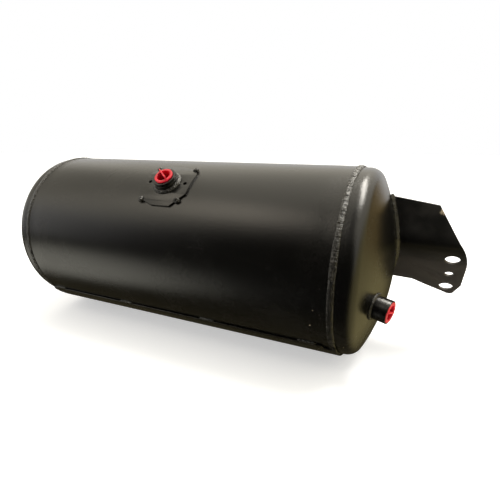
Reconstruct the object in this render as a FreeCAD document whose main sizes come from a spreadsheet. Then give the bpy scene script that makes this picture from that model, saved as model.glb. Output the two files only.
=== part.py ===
import FreeCAD, Part
import Sketcher
import math
import os

# Horizontal pressure tank: a rolled shell with two dished heads, a capped port on a curved plate,
# a capped port on the right head, a bent end bracket, and a cradle plate with a foot bar.
# Millimetres. +X runs along the tank towards the bracket, -Y is the side of the ports, +Z is up.
# The origin is the middle of the foot bar's underside.

doc = FreeCAD.newDocument("pressure_tank")

# ---------------------------------------------------------------- driving dimensions
SIZES = [
    ("shell_diameter", 305, "outside diameter of the rolled shell"),
    ("shell_length", 588, "length of the rolled shell"),
    ("shell_wall", 3.2, "shell plate thickness"),
    ("head_wall", 3.2, "head plate thickness"),
    ("flange_step", 1.7, "how far the head's flange lies inside the shell's outside"),
    ("flange_length", 12.4, "straight flange of a head beyond the shell"),
    ("knuckle_radius", 23, "outside radius of a head's knuckle"),
    ("crown_radius", 317, "outside radius of a head's crown"),
    ("lap_length", 14, "how far a head's lip reaches into the shell"),
    ("lap_clearance", 0.1, "radial clearance of the lip in the shell"),
    ("bead_width", 9.5, "width of a girth weld"),
    ("bead_height", 0.9, "height of a girth weld over the shell"),
    ("seat_clearance", 0.15, "gap left between pieces that bear on each other"),
    ("seam_angle", 60, "longitudinal seam, degrees from the top towards +Y"),
    ("seam_width", 8, "width of the longitudinal seam's bead"),
    ("seam_height", 1.2, "height of the longitudinal seam's bead"),
    ("cradle_wall", 1.6, "cradle plate thickness"),
    ("cradle_angle", 49.4, "cradle's reach from the lowest point, degrees each side"),
    ("cradle_left", 4.6, "cradle beyond the shell's left edge"),
    ("cradle_right", 6, "cradle beyond the shell's right edge"),
    ("cradle_corner", 9, "corner radius of the cradle's left end"),
    ("relief_length", 21, "length of the relief notches at the cradle's right end"),
    ("relief_depth", 5, "depth of the relief notches, across the tank"),
    ("relief_end", 3.5, "plate left between a notch and the cradle's right end"),
    ("stitch_length", 28, "length of a stitch weld"),
    ("stitch_width", 3.5, "width of a stitch weld beyond the cradle's edge"),
    ("stitch_first", 22, "first stitch's middle from the shell's left end"),
    ("stitch_last", 38.5, "last stitch's middle from the shell's right end"),
    ("foot_width", 60, "width of the foot bar"),
    ("foot_thickness", 5, "thickness of the foot bar"),
    ("foot_inset", 24, "foot bar's end inside the shell's end"),
    ("port_tilt", 37.3, "port's direction, degrees from the top towards -Y"),
    ("plate_thickness", 3, "thickness of the port plate"),
    ("plate_half_width", 44.5, "half the port plate's size across the tank"),
    ("plate_half_length", 45, "half the port plate's size along the tank"),
    ("plate_edge_near", 12.5, "short end of the plate's front edge from the port's middle"),
    ("plate_edge_far", 22.5, "long end of the plate's front edge from the port's middle"),
    ("plate_side_near", 21, "end of the plate's side edge next to its long clipped corner"),
    ("plate_side_far", 24.5, "end of the side edge next to its short clipped corner"),
    ("plate_clip", 36, "plate's tacked corner from the port's middle, both ways"),
    ("plate_hole_circle", 69, "circle through the plate's two holes"),
    ("plate_hole_radius", 3.3, "radius of the plate's two holes"),
    ("tack_radius", 5, "radius of a tack weld on the plate's edge"),
    ("bore_radius", 13.3, "radius of both ports' bores"),
    ("bore_chamfer", 0.8, "chamfer at a bore's mouth"),
    ("boss_wall", 7.3, "wall of the port boss round its bore"),
    ("boss_shoulder", 11.4, "height of the port boss's shoulder over the shell"),
    ("groove_wall", 4.5, "wall left at the groove under the port boss's top ring"),
    ("groove_width", 1.6, "width of that groove"),
    ("ring_wall", 5.9, "wall of the port boss's top ring"),
    ("boss_top", 15.8, "height of the port boss's top face over the shell"),
    ("boss_inside", 6, "how far a boss stands inside the tank"),
    ("boss_clearance", 0.2, "radial clearance of a boss in its hole"),
    ("boss_fillet", 4.2, "leg of the fillet weld round the port boss"),
    ("port_plug_lip", 2, "port plug's flange beyond the bore"),
    ("port_plug_flange", 3, "thickness of the port plug's flange"),
    ("end_plug_lip", 2.3, "end plug's flange beyond the bore"),
    ("end_plug_flange", 5, "thickness of the end plug's flange"),
    ("plug_clearance", 0.3, "radial clearance of a plug's stem in its bore"),
    ("plug_stem", 12, "length of a plug's stem"),
    ("plug_wall", 1.8, "wall of a plug's stem round its cup"),
    ("plug_floor", 2, "thickness of a plug's floor"),
    ("grip_edge", 1.5, "plug's flange beyond the end of its grip bar"),
    ("grip_thickness", 2, "thickness of a plug's grip bar"),
    ("port_grip_rise", 5.2, "grip bar above the port plug's flange"),
    ("end_grip_rise", 1, "grip bar above the end plug's flange"),
    ("grip_angle", 40, "grip bars' turn from the tank's length, degrees"),
    ("end_boss_wall", 1.6, "wall of the end boss round its plug's recess"),
    ("end_boss_length", 23.2, "end boss outside the head"),
    ("end_boss_reach", 93, "distance of the end boss from the tank's axis"),
    ("end_boss_drop", 23.2, "end boss's direction from -Y downwards, degrees"),
    ("end_boss_fillet", 4.4, "leg of the fillet weld round the end boss"),
    ("end_recess", 4, "depth of the end boss's recess for its plug's flange"),
    ("bracket_face", 20.3, "web's front face from the tank's middle plane"),
    ("bracket_wall", 4.2, "bracket plate thickness"),
    ("bracket_bend", 14, "outside radius of the bracket's bend"),
    ("bracket_fold", 40, "angle of the apron from the web, degrees"),
    ("bend_height", 36.6, "bend's corner over the tank's axis"),
    ("bracket_reach", 170, "bracket's tip beyond the shell's right edge"),
    ("bracket_top", 97.6, "height of the web's outer corner over the axis"),
    ("bracket_top_reach", 117, "web's outer corner beyond the shell's right edge"),
    ("bracket_drop", 72, "apron's lowest corner under the axis"),
    ("hole_reach", 147.5, "hole line beyond the shell's right edge"),
    ("hole_first", 36.6, "first hole along the apron from the bend"),
    ("hole_pitch", 41.5, "spacing of the three holes along the apron"),
    ("large_hole_radius", 11.3, "radius of the two large holes"),
    ("small_hole_radius", 7, "radius of the middle hole"),
    ("apron_root", 42, "apron's lower corner at the head, under the axis"),
    ("bracket_weld", 6, "leg of the bracket's fillet welds"),
]

sizes = doc.addObject("Spreadsheet::Sheet", "sizes")
for row, (alias, value, note) in enumerate(SIZES, start=1):
    sizes.set(f"A{row}", note)
    sizes.set(f"B{row}", str(value))
    sizes.setAlias(f"B{row}", alias)

layout = doc.addObject("App::FeaturePython", "layout")
doc.recompute()


def derive(name, expression):
    """A named size that follows from the sheet, kept as a property bound to its expression."""
    layout.addProperty("App::PropertyFloat", name)
    layout.setExpression(name, expression)
    doc.recompute()


def value(expression):
    """The expression's present value, as a plain number."""
    found = layout.evalExpression(expression)
    return float(getattr(found, "Value", found))


derive("shell_r", "sizes.shell_diameter / 2")
derive("half", "sizes.shell_length / 2")
derive("inner_r", "shell_r - sizes.shell_wall")
derive("cradle_in", "shell_r + sizes.bead_height + sizes.seat_clearance")
derive("cradle_out", "cradle_in + sizes.cradle_wall")
derive("axis_z", "cradle_out + sizes.seat_clearance + sizes.foot_thickness")
derive("plate_in", "shell_r + sizes.seat_clearance")
derive("plate_out", "plate_in + sizes.plate_thickness")
derive("flange_r", "shell_r - sizes.flange_step")
derive("lip_r", "inner_r - sizes.lap_clearance")
derive("boss_r", "sizes.bore_radius + sizes.boss_wall")
derive("plug_stem_r", "sizes.bore_radius - sizes.plug_clearance")
derive("end_plug_r", "sizes.bore_radius + sizes.end_plug_lip")
derive("end_boss_r", "end_plug_r + sizes.plug_clearance + sizes.end_boss_wall")
derive("knuckle_c", "flange_r - sizes.knuckle_radius")
derive("crown_c", "sizes.flange_length - sqrt((sizes.crown_radius - sizes.knuckle_radius)^2 - knuckle_c^2)")
derive("crown_share", "sizes.crown_radius / (sizes.crown_radius - sizes.knuckle_radius)")
derive("tangent_x", "crown_c + (sizes.flange_length - crown_c) * crown_share")
derive("tangent_r", "knuckle_c * crown_share")


# ---------------------------------------------------------------- building helpers
def plane_of(body, role):
    return [f for f in body.Origin.OriginFeatures if f.Role == role][0]


def new_body(name):
    body = doc.addObject("PartDesign::Body", name)
    body.Label = name
    return body


def new_sketch(body, name, role):
    sketch = body.newObject("Sketcher::SketchObject", name)
    sketch.AttachmentSupport = (plane_of(body, role), [""])
    sketch.MapMode = "FlatFace"
    return sketch


def bind(sketch, constraint, expression):
    sketch.setExpression(f"Constraints[{sketch.addConstraint(constraint)}]", expression)


def outline(sketch, corners):
    """A closed outline. Each corner is (x, y) or (x, y, radius, side): with a radius, the edge
    that leaves it is an arc that bulges to its left (side 1) or to its right (side -1)."""
    places = [FreeCAD.Vector(value(c[0]), value(c[1]), 0) for c in corners]
    count = len(corners)
    edges = []
    for i, corner in enumerate(corners):
        start = places[i]
        end = places[(i + 1) % count]
        if len(corner) == 2:
            edges.append(sketch.addGeometry(Part.LineSegment(start, end)))
            continue
        radius = value(corner[2])
        chord = end - start
        rise = math.sqrt(radius ** 2 - (chord.Length / 2) ** 2)
        left = FreeCAD.Vector(-chord.y, chord.x, 0).normalize()
        centre = (start + end) * 0.5 - left * (rise * corner[3])
        middle = centre + left * (radius * corner[3])
        edges.append(sketch.addGeometry(Part.Arc(start, middle, end)))
    ends = []
    for i, edge in enumerate(edges):
        first = sketch.getPoint(edge, 1)
        forward = (first - places[i]).Length <= (first - places[(i + 1) % count]).Length
        ends.append((1, 2) if forward else (2, 1))
    for i, edge in enumerate(edges):
        follower = (i + 1) % count
        sketch.addConstraint(
            Sketcher.Constraint("Coincident", edge, ends[i][1], edges[follower], ends[follower][0]))
    for i, edge in enumerate(edges):
        x, y = corners[i][0], corners[i][1]
        bind(sketch, Sketcher.Constraint("DistanceX", -1, 1, edge, ends[i][0], places[i].x), x)
        bind(sketch, Sketcher.Constraint("DistanceY", -1, 1, edge, ends[i][0], places[i].y), y)
        if len(corners[i]) > 2:
            bind(sketch, Sketcher.Constraint("Radius", edge, value(corners[i][2])), corners[i][2])
    return sketch


def circle(sketch, x, y, radius):
    centre = FreeCAD.Vector(value(x), value(y), 0)
    edge = sketch.addGeometry(Part.Circle(centre, FreeCAD.Vector(0, 0, 1), value(radius)))
    bind(sketch, Sketcher.Constraint("DistanceX", -1, 1, edge, 3, centre.x), x)
    bind(sketch, Sketcher.Constraint("DistanceY", -1, 1, edge, 3, centre.y), y)
    bind(sketch, Sketcher.Constraint("Radius", edge, value(radius)), radius)


def revolved(name, corners, axis):
    """A full turn of an outline in the XZ plane about its H_Axis (X) or V_Axis (Z)."""
    body = new_body(name)
    sketch = outline(new_sketch(body, name + "_profile", "XZ_Plane"), corners)
    turn = body.newObject("PartDesign::Revolution", name + "_turn")
    turn.Profile = sketch
    turn.ReferenceAxis = (sketch, [axis])
    turn.Angle = 360
    return body


def padded(body, sketch, name, length, midplane=False, reverse=False):
    pad = body.newObject("PartDesign::Pad", name)
    pad.Profile = sketch
    pad.setExpression("Length", length)
    pad.Midplane = midplane
    pad.Reversed = reverse
    return pad


def place(piece, spot, turn="rotation(vector(1; 0; 0); 0)", then=""):
    piece.setExpression("Placement", f"placement(vector({spot}); {turn}){then}")
    return piece


def cut(name, base, *tools):
    """The base less each tool, as a chain of Part::Cut, the last one labelled with the name."""
    for i, tool in enumerate(tools):
        result = doc.addObject("Part::Cut", f"{name}_cut_{i + 1}")
        result.Base = base
        result.Tool = tool
        base = result
    base.Label = name
    return base


def common(name, base, tool):
    result = doc.addObject("Part::Common", name + "_common")
    result.Base = base
    result.Tool = tool
    result.Label = name
    return result


AXIS = "0; 0; layout.axis_z"
RIGHT = "layout.half; 0; layout.axis_z"
LEFT = "-layout.half; 0; layout.axis_z"
TURN_LEFT = "rotation(vector(0; 0; 1); 180)"
PORT_TURN = "rotation(vector(1; 0; 0); sizes.port_tilt)"


# ---------------------------------------------------------------- shell and heads
def port_drill(name, radius):
    """A cylinder along the port's direction, from the tank's axis to well outside the shell."""
    drill = doc.addObject("Part::Cylinder", name)
    drill.setExpression("Radius", radius)
    drill.setExpression("Height", "layout.shell_r * 1.5")
    return place(drill, AXIS, PORT_TURN)


def make_shell():
    tube = revolved("shell_tube", [
        ("-layout.half", "layout.inner_r"),
        ("layout.half", "layout.inner_r"),
        ("layout.half", "layout.shell_r"),
        ("-layout.half", "layout.shell_r"),
    ], "H_Axis")
    place(tube, AXIS)
    return cut("shell", tube, port_drill("shell_drill", "layout.boss_r + sizes.boss_clearance"))


def head_outside(grow="0"):
    """Outside corners of a head, from the flange's root to the crown's top, grown by an amount."""
    return [
        ("sizes.flange_length", f"layout.flange_r + {grow}", f"sizes.knuckle_radius + {grow}", 1),
        (f"layout.tangent_x + {grow} * (layout.tangent_x - layout.crown_c) / sizes.crown_radius",
         f"layout.tangent_r + {grow} * layout.tangent_r / sizes.crown_radius",
         f"sizes.crown_radius + {grow}", 1),
        (f"layout.crown_c + sizes.crown_radius + {grow}", "0"),
    ]


def make_head(name):
    """A torispherical dish with a straight flange and a lip that laps inside the shell."""
    wall = "sizes.head_wall"
    inside = head_outside(f"(-{wall})")
    return revolved(name, [
        ("-sizes.lap_length", "layout.lip_r"),
        ("0", "layout.lip_r"),
        ("layout.flange_r - layout.lip_r", "layout.flange_r"),
        *head_outside(),
        (inside[2][0], "0", inside[1][2], -1),
        (inside[1][0], inside[1][1], inside[0][2], -1),
        (inside[0][0], inside[0][1]),
        ("layout.flange_r - layout.lip_r", f"layout.flange_r - {wall}"),
        ("0", f"layout.lip_r - {wall}"),
        ("-sizes.lap_length", f"layout.lip_r - {wall}"),
    ], "H_Axis")


def head_block(name, grow="0"):
    """The right head's outside as a solid block, for cutting what is fitted against the head."""
    block = revolved(name, [
        ("-sizes.lap_length", "0"),
        ("-sizes.lap_length", f"layout.flange_r + {grow}"),
        *head_outside(grow),
    ], "H_Axis")
    return place(block, RIGHT)


def make_girth_weld(name, spot, turn):
    """A bead over the groove between the shell's edge and the head's joggled flange."""
    half_width = "sizes.bead_width / 2"
    weld = revolved(name, [
        ("0", "layout.lip_r"),
        ("0", "layout.shell_r"),
        (f"-{half_width}", "layout.shell_r", "sizes.bead_width * 0.6", 1),
        ("0", "layout.shell_r + sizes.bead_height", "sizes.bead_width * 0.6", 1),
        (half_width, "layout.flange_r"),
        ("layout.flange_r - layout.lip_r", "layout.flange_r"),
    ], "H_Axis")
    return place(weld, spot, turn)


def make_seam_weld():
    """The longitudinal seam's bead, a low lens along the shell between the girth welds."""
    body = new_body("seam_weld")
    half_width = "sizes.seam_width / 2"
    foot = f"sqrt(layout.shell_r^2 - ({half_width})^2)"
    bulge = f"((({half_width})^2 + sizes.seam_height^2) / (2 * sizes.seam_height))"
    sketch = outline(new_sketch(body, "seam_weld_profile", "YZ_Plane"), [
        (f"-{half_width}", foot, bulge, 1),
        (half_width, foot, "layout.shell_r", -1),
    ])
    padded(body, sketch, "seam_weld_pad", "sizes.shell_length - sizes.bead_width - 1", midplane=True)
    return place(body, AXIS, "rotation(vector(1; 0; 0); -sizes.seam_angle)")


# ---------------------------------------------------------------- cradle and foot
def sector(body, name, inner, outer, start, stop):
    """An annular sector in the YZ plane, by its angles from the lowest point towards +Y."""
    def at(radius, angle):
        return f"({radius}) * sin({angle})", f"-({radius}) * cos({angle})"
    return outline(new_sketch(body, name, "YZ_Plane"), [
        (*at(outer, start), outer, -1),
        at(outer, stop),
        (*at(inner, stop), inner, 1),
        at(inner, start),
    ])


def make_cradle():
    """A rolled plate under the shell that bears on both girth welds. Its left corners are round,
    and relief notches are cut in its upper edges where it crosses the right-hand weld."""
    body = new_body("cradle")
    reach = "sizes.cradle_angle"
    sheet = sector(body, "cradle_profile", "layout.cradle_in", "layout.cradle_out", f"-{reach}", reach)
    padded(body, sheet, "cradle_pad",
           "sizes.shell_length + sizes.cradle_left + sizes.cradle_right", midplane=True)
    notch = new_sketch(body, "cradle_notches", "XY_Plane")
    middle = "(sizes.shell_length + sizes.cradle_left + sizes.cradle_right) / 2"
    edge = "layout.cradle_in * sin(sizes.cradle_angle)"
    for side in (1, -1):
        outline(notch, [
            (f"{middle} - sizes.relief_end - sizes.relief_length",
             f"{side} * ({edge} + sizes.cradle_corner)"),
            (f"{middle} - sizes.relief_end - sizes.relief_length + sizes.relief_depth",
             f"{side} * ({edge} - sizes.relief_depth)"),
            (f"{middle} - sizes.relief_end - sizes.relief_depth / 2",
             f"{side} * ({edge} - sizes.relief_depth)"),
            (f"{middle} - sizes.relief_end", f"{side} * ({edge} + sizes.cradle_corner)"),
        ])
        outline(notch, [
            (f"-({middle}) - 1", f"{side} * ({edge} - sizes.cradle_corner)"),
            (f"-({middle})", f"{side} * ({edge} - sizes.cradle_corner)", "sizes.cradle_corner", side),
            (f"-({middle}) + sizes.cradle_corner", f"{side} * {edge}"),
            (f"-({middle}) + sizes.cradle_corner", f"{side} * ({edge} + sizes.cradle_corner)"),
            (f"-({middle}) - 1", f"{side} * ({edge} + sizes.cradle_corner)"),
        ])
    pocket = body.newObject("PartDesign::Pocket", "cradle_reliefs")
    pocket.Profile = notch
    pocket.Type = "ThroughAll"
    pocket.Midplane = True
    return place(body, "(sizes.cradle_right - sizes.cradle_left) / 2; 0; layout.axis_z")


def make_stitches(name, side):
    """Four stitch welds that join the cradle's edge to the shell on one side."""
    body = new_body(name)
    edge = "sizes.cradle_angle"
    beyond = f"({edge} + sizes.stitch_width / layout.shell_r * 180 / pi)"
    sketch = sector(body, name + "_profile", "layout.shell_r", "layout.cradle_out - 0.3",
                    f"{side} * {edge if side > 0 else beyond}",
                    f"{side} * {beyond if side > 0 else edge}")
    padded(body, sketch, name + "_pad", "sizes.stitch_length", midplane=True)
    row = body.newObject("PartDesign::LinearPattern", name + "_row")
    row.Originals = [body.getObject(name + "_pad")]
    row.Direction = (sketch, ["N_Axis"])
    row.setExpression("Length", "sizes.shell_length - sizes.stitch_first - sizes.stitch_last")
    row.Occurrences = 4
    body.Tip = row
    return place(body, "-layout.half + sizes.stitch_first; 0; layout.axis_z")


def make_foot_bar():
    bar = doc.addObject("Part::Box", "foot_bar")
    bar.Label = "foot_bar"
    bar.setExpression("Length", "sizes.shell_length - 2 * sizes.foot_inset")
    bar.setExpression("Width", "sizes.foot_width")
    bar.setExpression("Height", "sizes.foot_thickness")
    return place(bar, "-layout.half + sizes.foot_inset; -sizes.foot_width / 2; 0")


def make_foot_weld(name, side):
    """A fillet between the foot bar's upper edge and the cradle's underside."""
    body = new_body(name)
    start = "sizes.foot_width / 2 - sizes.foot_thickness"
    stop = "sizes.foot_width / 2"
    def under(y):
        return f"layout.axis_z - sqrt(layout.cradle_out^2 - ({y})^2)"
    sketch = outline(new_sketch(body, name + "_profile", "YZ_Plane"), [
        (f"{side} * ({start})", "sizes.foot_thickness"),
        (f"{side} * ({stop})", "sizes.foot_thickness"),
        (f"{side} * ({stop})", under(stop), "layout.cradle_out", side),
        (f"{side} * ({start})", under(start)),
    ])
    padded(body, sketch, name + "_pad",
           "sizes.shell_length - 2 * sizes.foot_inset - 2 * sizes.stitch_length", midplane=True)
    return body


# ---------------------------------------------------------------- port on its plate
# Pieces of the port are drawn upright over the tank's axis and turned with the port.
def plate_corners():
    """The plate's ten corners in order; the second five are the first five turned half round."""
    half = [
        ("-sizes.plate_edge_near", "-sizes.plate_half_width"),
        ("sizes.plate_edge_far", "-sizes.plate_half_width"),
        ("sizes.plate_half_length", "-sizes.plate_side_near"),
        ("sizes.plate_half_length", "sizes.plate_side_far"),
        ("sizes.plate_clip", "sizes.plate_clip"),
    ]
    return half + [(f"-({x})", f"-({y})") for x, y in half]


def round_bar(name, radius):
    """A round bar on the tank's axis, as long as the shell."""
    bar = doc.addObject("Part::Cylinder", name)
    bar.setExpression("Radius", radius)
    bar.setExpression("Height", "sizes.shell_length")
    return place(bar, LEFT, "rotation(vector(0; 1; 0); 90)")


def make_port_plate():
    """A plate rolled to the shell's curve, with clipped corners, round the port boss."""
    body = new_body("port_plate_blank")
    sketch = new_sketch(body, "port_plate_outline", "XY_Plane")
    outline(sketch, plate_corners())
    circle(sketch, "0", "0", "layout.boss_r + sizes.boss_clearance")
    for side in (1, -1):
        circle(sketch, f"{side} * sizes.plate_hole_circle / 2", "0", "sizes.plate_hole_radius")
    padded(body, sketch, "port_plate_pad", "layout.plate_out + sizes.plate_thickness")
    place(body, AXIS, PORT_TURN)
    sheet = cut("port_plate_sheet", round_bar("port_plate_face", "layout.plate_out"),
                round_bar("port_plate_seat", "layout.plate_in"))
    return common("port_plate", sheet, body)


def make_port_boss():
    """A turned boss that passes through plate and shell, with a shoulder, a groove and a ring."""
    groove_top = "layout.shell_r + sizes.boss_shoulder + sizes.groove_width"
    boss = revolved("port_boss", [
        ("sizes.bore_radius", "layout.inner_r - sizes.boss_inside"),
        ("layout.boss_r", "layout.inner_r - sizes.boss_inside"),
        ("layout.boss_r", "layout.shell_r + sizes.boss_shoulder"),
        ("sizes.bore_radius + sizes.groove_wall", "layout.shell_r + sizes.boss_shoulder"),
        ("sizes.bore_radius + sizes.groove_wall", groove_top),
        ("sizes.bore_radius + sizes.ring_wall", groove_top),
        ("sizes.bore_radius + sizes.ring_wall", "layout.shell_r + sizes.boss_top"),
        ("sizes.bore_radius + sizes.bore_chamfer", "layout.shell_r + sizes.boss_top"),
        ("sizes.bore_radius", "layout.shell_r + sizes.boss_top - sizes.bore_chamfer"),
    ], "V_Axis")
    return place(boss, AXIS, PORT_TURN)


def make_port_boss_weld():
    """A fillet ring between the boss and the plate's curved upper face."""
    foot = "layout.plate_out - sizes.plate_thickness"
    ring = revolved("port_boss_weld_ring", [
        ("layout.boss_r", foot),
        ("layout.boss_r + sizes.boss_fillet", foot),
        ("layout.boss_r", "layout.plate_out + sizes.boss_fillet"),
    ], "V_Axis")
    place(ring, AXIS, PORT_TURN)
    return cut("port_boss_weld", ring, round_bar("port_boss_weld_seat", "layout.plate_out"))


def make_plate_tack(name, corner, follower, plate):
    """A tack weld on the plate's edge, halfway from one place on it to another: a lump that
    reaches down to the shell."""
    lump = doc.addObject("Part::Sphere", name + "_lump")
    lump.setExpression("Radius", "sizes.tack_radius")
    x = f"(({corner[0]}) + ({follower[0]})) / 2"
    y = f"(({corner[1]}) + ({follower[1]})) / 2"
    level = f"sqrt(layout.plate_out^2 - ({y})^2) - sizes.plate_thickness / 2"
    place(lump, AXIS, PORT_TURN,
          f" * placement(vector({x}; {y}; {level}); rotation(vector(1; 0; 0); 0))")
    core = round_bar(name + "_core", "layout.shell_r")
    return cut(name, lump, core, plate)


def plug_body(name, seat, radius, flange, rise):
    """A moulded plug: a flange, a stem with a cup in it, and a grip bar across both."""
    top = f"{seat} + {flange}"
    floor = f"{seat} - sizes.plug_stem"
    stem = "layout.plug_stem_r"
    cup = "layout.plug_stem_r - sizes.plug_wall"
    body = revolved(name, [
        ("0", floor),
        (f"{stem} - 0.8", floor),
        (stem, f"{seat} - sizes.bore_chamfer"),
        (stem, seat),
        (radius, seat),
        (radius, f"{top} - 0.5"),
        (f"{radius} - 0.5", top),
        (cup, top),
        (f"{cup} - 0.8", f"{floor} + sizes.plug_floor"),
        ("0", f"{floor} + sizes.plug_floor"),
    ], "V_Axis")
    bar = f"{radius} - sizes.grip_edge"
    sketch = new_sketch(body, name + "_grip", "XZ_Plane")
    outline(sketch, [
        (f"-({cup} - 0.4)", f"{floor} + sizes.plug_floor / 2"),
        (f"{cup} - 0.4", f"{floor} + sizes.plug_floor / 2"),
        (f"{cup} - 0.4", f"{top} - 0.5"),
        (bar, f"{top} - 0.5"),
        (bar, f"{top} + {rise}"),
        (f"-({bar})", f"{top} + {rise}"),
        (f"-({bar})", f"{top} - 0.5"),
        (f"-({cup} - 0.4)", f"{top} - 0.5"),
    ])
    padded(body, sketch, name + "_bar", "sizes.grip_thickness", midplane=True)
    return body


def make_port_plug():
    plug = plug_body("port_plug", "layout.shell_r + sizes.boss_top", "sizes.bore_radius + sizes.port_plug_lip",
                     "sizes.port_plug_flange", "sizes.port_grip_rise")
    return place(plug, AXIS, PORT_TURN,
                 " * placement(vector(0; 0; 0); rotation(vector(0; 0; 1); -sizes.grip_angle))")


# ---------------------------------------------------------------- port on the right head
# The end boss stands square to the crown. Its pieces are drawn along +Z with the head's outside
# face at zero, then leaned out from the tank's axis and turned round it.
derive("end_lean", "asin(sizes.end_boss_reach / sizes.crown_radius)")
END_TURN = ("placement(vector(layout.half + layout.crown_c; 0; layout.axis_z);"
            " rotation(vector(1; 0; 0); 90 + sizes.end_boss_drop))"
            " * placement(vector(0; 0; 0); rotation(vector(0; 1; 0); 90 - layout.end_lean))"
            " * placement(vector(0; 0; sizes.crown_radius); rotation(vector(0; 0; 1); {}))")


def on_head(piece, spin="0"):
    piece.setExpression("Placement", END_TURN.format(spin))
    return piece


def make_end_boss():
    return on_head(revolved("end_boss", [
        ("sizes.bore_radius", "-(sizes.head_wall + sizes.boss_inside)"),
        ("layout.end_boss_r", "-(sizes.head_wall + sizes.boss_inside)"),
        ("layout.end_boss_r", "sizes.end_boss_length - 1"),
        ("layout.end_boss_r - 1", "sizes.end_boss_length"),
        ("layout.end_plug_r + sizes.plug_clearance", "sizes.end_boss_length"),
        ("layout.end_plug_r + sizes.plug_clearance", "sizes.end_boss_length - sizes.end_recess"),
        ("sizes.bore_radius", "sizes.end_boss_length - sizes.end_recess"),
    ], "V_Axis"))


def end_drill():
    drill = doc.addObject("Part::Cylinder", "end_drill")
    drill.setExpression("Radius", "layout.end_boss_r + sizes.boss_clearance")
    drill.setExpression("Height", "sizes.end_boss_length + 40")
    drill.setExpression("Placement", END_TURN.format("0")
                        + " * placement(vector(0; 0; -40); rotation(vector(1; 0; 0); 0))")
    return drill


def make_end_boss_weld(block):
    """A fillet ring between the end boss and the crown, trimmed to the crown's face."""
    ring = on_head(revolved("end_boss_weld_ring", [
        ("layout.end_boss_r", "-sizes.end_boss_fillet"),
        ("layout.end_boss_r + 2 * sizes.end_boss_fillet", "-sizes.end_boss_fillet"),
        ("layout.end_boss_r", "sizes.end_boss_fillet"),
    ], "V_Axis"))
    return cut("end_boss_weld", ring, block)


def make_end_plug():
    plug = plug_body("end_plug", "sizes.end_boss_length - sizes.end_recess", "layout.end_plug_r",
                     "sizes.end_plug_flange", "sizes.end_grip_rise")
    return on_head(plug, "sizes.grip_angle")


# ---------------------------------------------------------------- end bracket
def bent_line(offset, top, run):
    """Four corners of the bracket's section line, a distance behind its front face: the top, both
    ends of the bend and the apron's lower end. The bend's radius is returned beside them."""
    fold, half_fold = "sizes.bracket_fold", "(sizes.bracket_fold / 2)"
    radius = f"(sizes.bracket_bend - ({offset}))"
    across = f"(sizes.bracket_face + {offset})"
    level = f"(sizes.bend_height + ({offset}) * tan({half_fold}))"
    setback = f"({radius} * tan({half_fold}))"
    return [
        (across, top),
        (across, f"{level} + {setback}"),
        (f"{across} + {setback} * sin({fold})", f"{level} - {setback} * cos({fold})"),
        (f"{across} + ({run}) * sin({fold})", f"{level} - ({run}) * cos({fold})"),
    ], radius


def bent_sheet(name, near, far, top, drop):
    """A prism along the tank between two offsets of the bracket's section line."""
    sheet = new_body(name)
    run = f"({drop} + sizes.bend_height) / cos(sizes.bracket_fold)"
    front, front_radius = bent_line(near, top, run)
    rear, rear_radius = bent_line(far, top, run)
    section = outline(new_sketch(sheet, name + "_section", "YZ_Plane"), [
        front[0],
        (*front[1], front_radius, -1),
        front[2],
        front[3],
        rear[3],
        (*rear[2], rear_radius, 1),
        rear[1],
        rear[0],
    ])
    padded(sheet, section, name + "_pad", "sizes.bracket_reach + 20")
    return place(sheet, RIGHT)


def make_bracket(block):
    """A plate with a vertical web and an apron folded back under it, profiled to the crown."""
    sheet = bent_sheet("end_bracket_sheet", "0", "sizes.bracket_wall", "sizes.bracket_top + 20",
                       "sizes.bracket_drop")
    blank = new_body("end_bracket_blank")
    tip, drop = "sizes.bracket_reach", "sizes.bracket_drop"
    front = outline(new_sketch(blank, "end_bracket_front", "XZ_Plane"), [
        ("15", "sizes.bracket_top + 15"),
        ("sizes.bracket_top_reach", "sizes.bracket_top"),
        (f"{tip} - 17", "sizes.bend_height + 4", "78", 1),
        (tip, "-12"),
        (tip, f"-({drop} - 24)"),
        (f"{tip} - 9", f"-({drop} - 3)", "9", 1),
        (f"{tip} - 22", f"-({drop} - 2)"),
        (f"{tip} - 54", f"-({drop} - 15)"),
        (f"{tip} - 78", f"-({drop} - 26)"),
        ("15", "-sizes.apron_root"),
    ])
    padded(blank, front, "end_bracket_blank_pad", "sizes.bracket_reach", reverse=True)
    place(blank, RIGHT)
    plate = common("end_bracket_plate", sheet, blank)

    drills = []
    radii = ["sizes.large_hole_radius", "sizes.small_hole_radius", "sizes.large_hole_radius"]
    for i, radius in enumerate(radii):
        drill = doc.addObject("Part::Cylinder", f"bracket_drill_{i + 1}")
        drill.setExpression("Radius", radius)
        drill.setExpression("Height", "sizes.bracket_wall * 6")
        along = f"(sizes.hole_first + {i} * sizes.hole_pitch)"
        place(drill, "layout.half + sizes.hole_reach; sizes.bracket_face; layout.axis_z + sizes.bend_height",
              "rotation(vector(1; 0; 0); sizes.bracket_fold)",
              f" * placement(vector(0; -3 * sizes.bracket_wall; -{along}); rotation(vector(1; 0; 0); -90))")
        drills.append(drill)
    return cut("end_bracket", plate, block, *drills)


def make_bracket_weld(name, near, far, block, layer):
    """A fillet along the bracket's root: a bent strip beside the plate, within one leg of the
    crown's face."""
    strip = bent_sheet(name + "_strip", near, far, "sizes.bracket_top + 12", "sizes.apron_root - 2")
    return cut(name, common(name + "_layer", strip, layer), block)


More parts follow.
